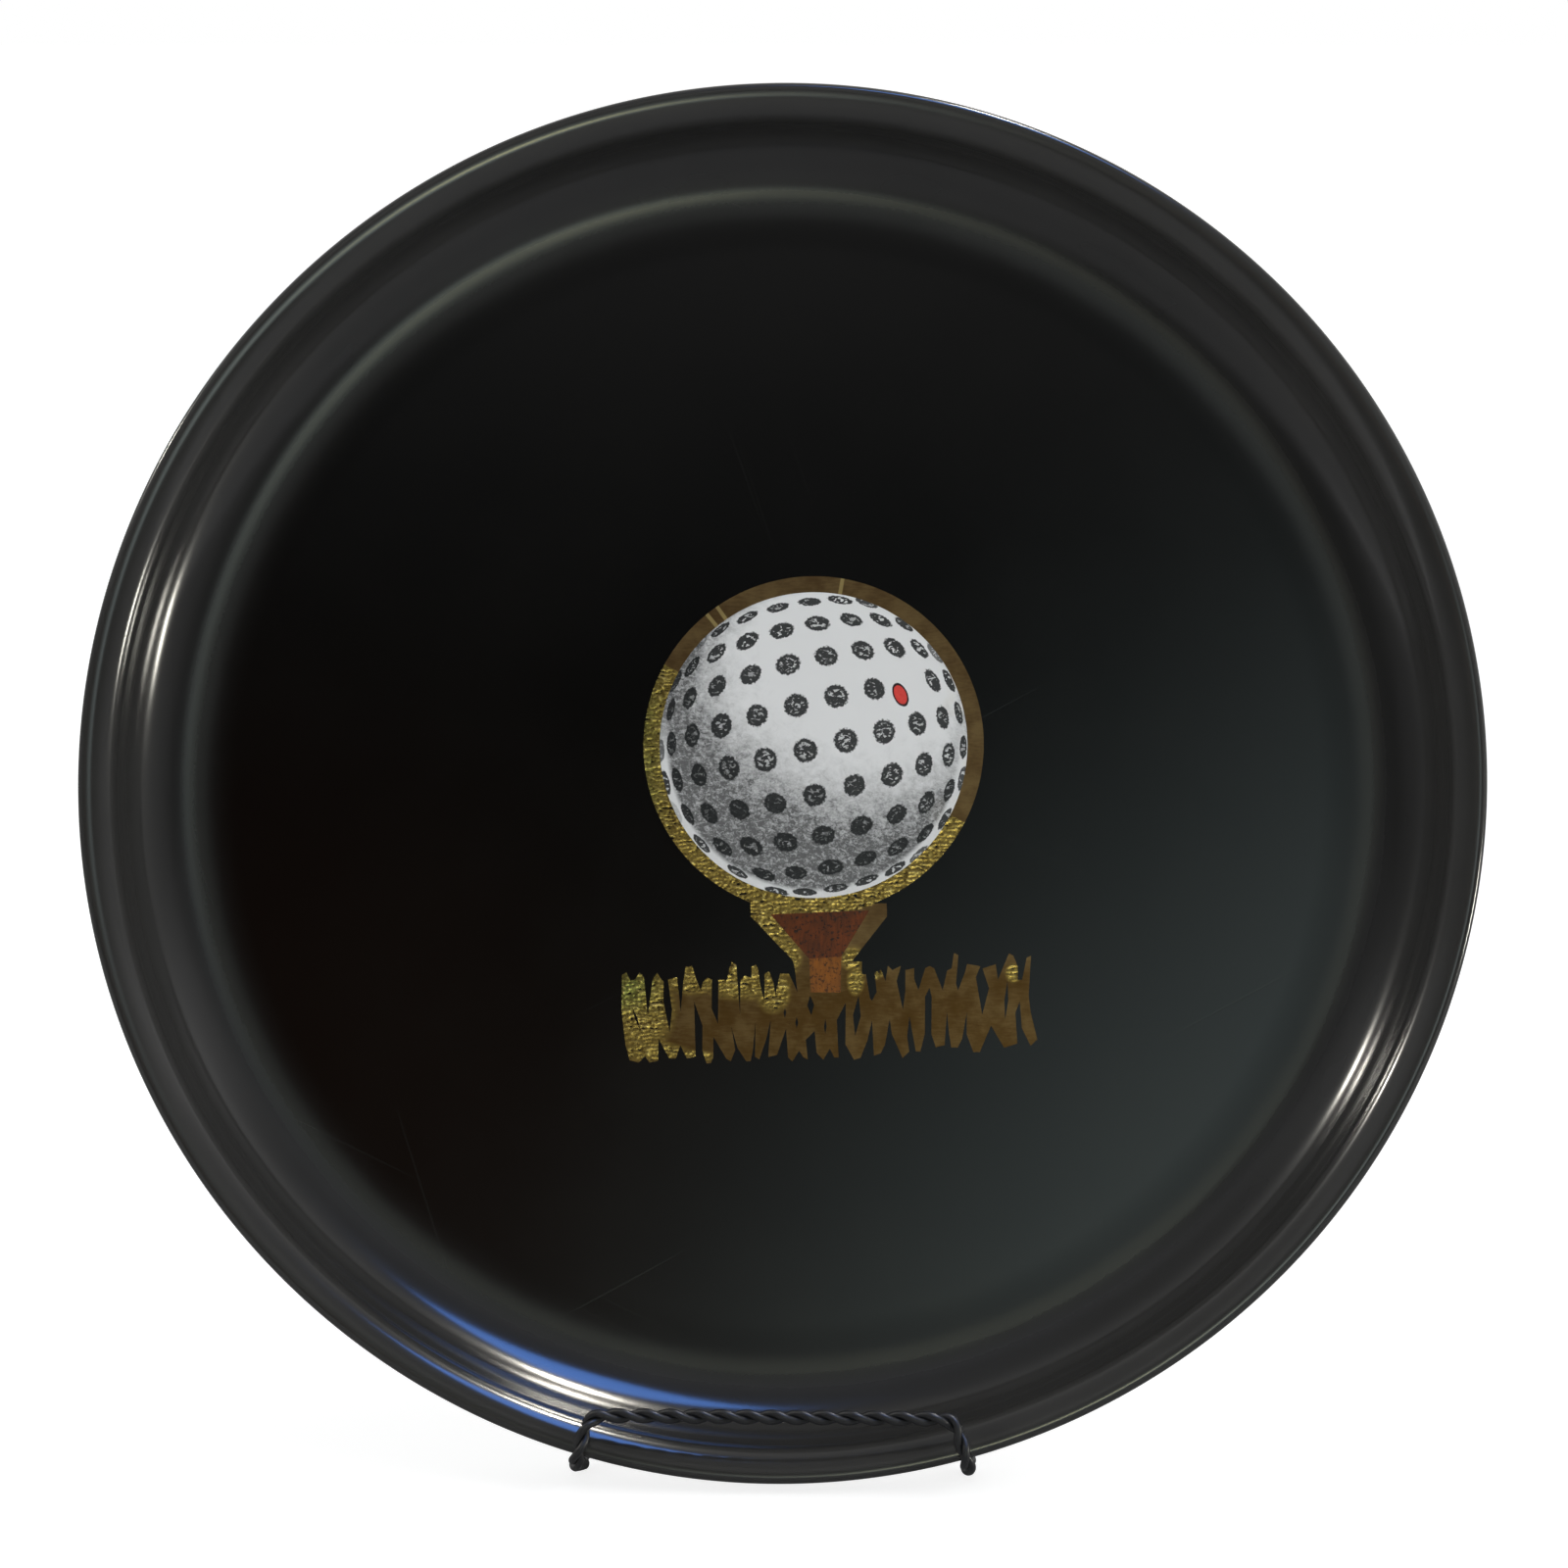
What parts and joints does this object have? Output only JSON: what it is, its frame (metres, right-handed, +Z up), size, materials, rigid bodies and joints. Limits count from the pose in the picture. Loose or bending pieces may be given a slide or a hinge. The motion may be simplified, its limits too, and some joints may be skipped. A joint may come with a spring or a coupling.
{
  "type": "inlaid tray on a plate stand",
  "caption": "Round black serving tray with a flat well and an S-curved rim, inlaid with a golf ball on a tee in brass grass, leaning on a folding twisted-wire plate stand.",
  "frame": {"origin": "middle of the footprint on the table, under the middle of the whole object's box", "axes": "+Z up; the tray's face looks towards -Y and leans back 15 degrees; +X to the right seen from the front"},
  "size_m": [0.3174, 0.1312, 0.3093],
  "materials": {
    "tray_resin": "black phenolic resin, satin with a soft gloss",
    "ball_print": "white printed disc with charcoal shading, sealed under clear resin",
    "brass_foil": "tarnished brass foil, crinkled in places",
    "tee_wood": "red-brown speckled wood, polished flush",
    "black_wire": "black paint on twisted steel wire",
    "black_rod": "black paint on steel"
  },
  "bodies": {
    "stand": {"front_frame": "black_wire", "ledge": "black_wire", "hinge_rod": "black_rod", "leg_bail": "black_rod"},
    "tray": {"tray_body": "tray_resin", "ball_disc": "ball_print", "ring_strip_right": "brass_foil", "ring_strip_top": "brass_foil", "ring_strip_left": "brass_foil", "tee_collar": "brass_foil", "tee_edge_left": "brass_foil", "tee_edge_right": "brass_foil", "grass_1": "brass_foil", "grass_2": "brass_foil", "grass_3": "brass_foil", "grass_4": "brass_foil", "grass_5": "brass_foil", "tee_cup": "tee_wood", "tee_stem": "tee_wood"},
    "back_leg": {"back_leg": "black_wire", "leg_eye_left": "black_rod", "leg_eye_right": "black_rod"}
  },
  "joints": [
    {"name": "tray_lift", "type": "slide", "parent": "stand", "child": "tray", "axis": [0, 0.2588, 0.9659], "range_m": [0, 0.24]},
    {"name": "leg_fold", "type": "hinge", "parent": "stand", "child": "back_leg", "pos_m": [0, 0.00734, 0.1572], "axis": [1, 0, 0], "range_deg": [-35, 0]}
  ]
}
